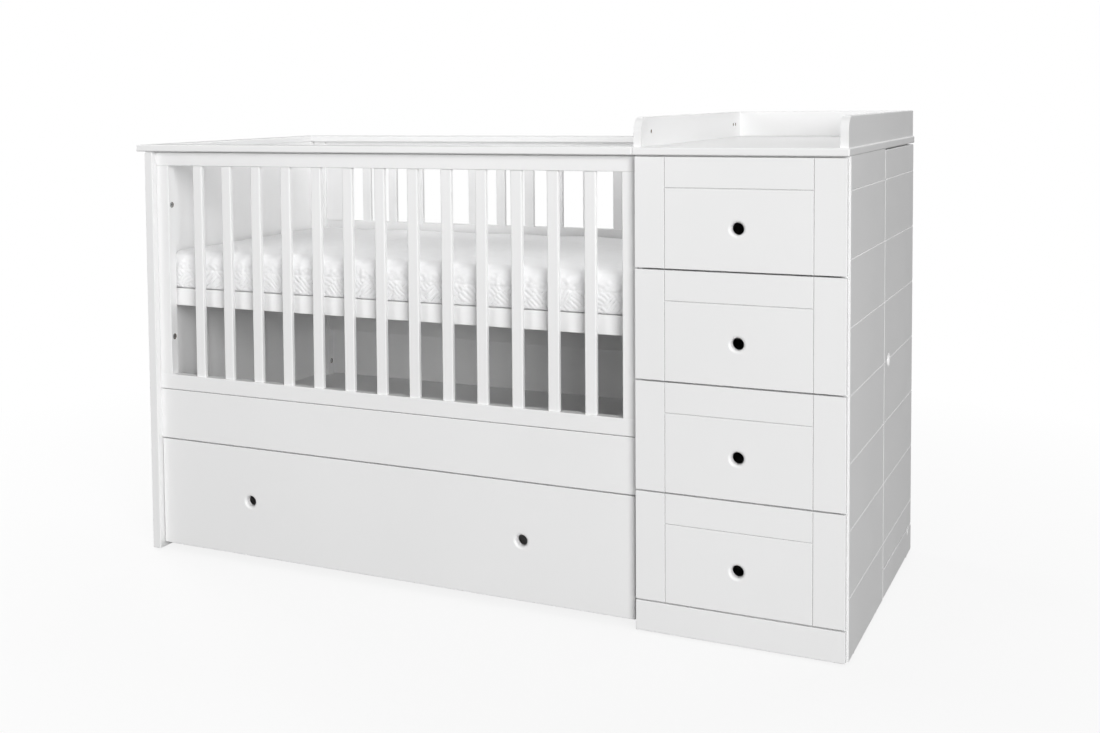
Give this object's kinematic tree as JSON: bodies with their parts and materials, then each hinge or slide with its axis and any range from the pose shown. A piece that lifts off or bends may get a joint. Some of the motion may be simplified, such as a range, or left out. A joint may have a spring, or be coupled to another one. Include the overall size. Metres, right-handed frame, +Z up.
{
  "type": "crib with attached changer",
  "caption": "Slatted crib with a mattress and an under-bed drawer, joined to a drawer cabinet that carries a changing tray and has a side cupboard door.",
  "frame": {"origin": "middle of the bounding box, on the floor", "axes": "+X along the crib towards the cabinet, +Y to the back, +Z up"},
  "size_m": [1.698, 0.8, 1.065],
  "materials": {
    "white_lacquer": "satin white lacquer on fibreboard",
    "inner_board": "matt white coated board",
    "steel": "zinc plated",
    "white_plastic": "matt moulded plastic",
    "quilted_cover": "white quilted cotton cover"
  },
  "bodies": {
    "root": {"left_end_panel": "white_lacquer", "front_cap": "white_lacquer", "left_cap": "white_lacquer", "back_cap": "white_lacquer", "front_rails": "white_lacquer", "front_stiles": "white_lacquer", "front_slats": "white_lacquer", "front_apron": "white_lacquer", "back_top_rail": "white_lacquer", "back_post": "white_lacquer", "back_stiles": "white_lacquer", "back_slats": "white_lacquer", "back_panel": "white_lacquer", "lower_back_board": "white_lacquer", "frame_bolts": "steel", "dust_shelf": "white_lacquer", "base_frame": "white_lacquer", "base_slats": "inner_board", "base_bolts": "steel", "mattress": "quilted_cover", "cabinet_left_side": "white_lacquer", "cabinet_right_side": "white_lacquer", "cabinet_plinths": "white_lacquer", "cabinet_top": "white_lacquer", "cabinet_bottom": "inner_board", "cabinet_divider": "white_lacquer", "cabinet_back": "white_lacquer", "cabinet_rails": "inner_board", "cupboard_shelves": "white_lacquer", "shelf_pins": "steel", "tray_sides": "white_lacquer", "tray_back": "white_lacquer", "drawer_tracks": "steel", "bed_drawer_tracks": "steel", "glides": "white_plastic", "hinge_arms": "steel", "cover_cap": "white_plastic"},
    "drawer_1": {"drawer_1_front": "white_lacquer", "drawer_1_box": "inner_board", "drawer_1_bottom": "inner_board", "drawer_1_runners": "steel"},
    "drawer_2": {"drawer_2_front": "white_lacquer", "drawer_2_box": "inner_board", "drawer_2_bottom": "inner_board", "drawer_2_runners": "steel"},
    "drawer_3": {"drawer_3_front": "white_lacquer", "drawer_3_box": "inner_board", "drawer_3_bottom": "inner_board", "drawer_3_runners": "steel"},
    "drawer_4": {"drawer_4_front": "white_lacquer", "drawer_4_box": "inner_board", "drawer_4_bottom": "inner_board", "drawer_4_runners": "steel"},
    "bed_drawer": {"bed_drawer_front": "white_lacquer", "bed_drawer_box": "inner_board", "bed_drawer_bottom": "inner_board", "bed_drawer_rib": "inner_board", "bed_drawer_runners": "steel"},
    "side_door": {"side_door": "white_lacquer", "hinge_cups": "steel"}
  },
  "joints": [
    {"name": "drawer_1_slide", "type": "slide", "parent": "root", "child": "drawer_1", "axis": [0, -1, 0], "range_m": [0, 0.26]},
    {"name": "drawer_2_slide", "type": "slide", "parent": "root", "child": "drawer_2", "axis": [0, -1, 0], "range_m": [0, 0.26]},
    {"name": "drawer_3_slide", "type": "slide", "parent": "root", "child": "drawer_3", "axis": [0, -1, 0], "range_m": [0, 0.26]},
    {"name": "drawer_4_slide", "type": "slide", "parent": "root", "child": "drawer_4", "axis": [0, -1, 0], "range_m": [0, 0.26]},
    {"name": "bed_drawer_slide", "type": "slide", "parent": "root", "child": "bed_drawer", "axis": [0, -1, 0], "range_m": [0, 0.45]},
    {"name": "side_door_hinge", "type": "hinge", "parent": "root", "child": "side_door", "pos_m": [0.848, 0.392, 0.52725], "axis": [0, 0, 1], "range_deg": [0, 95]}
  ]
}
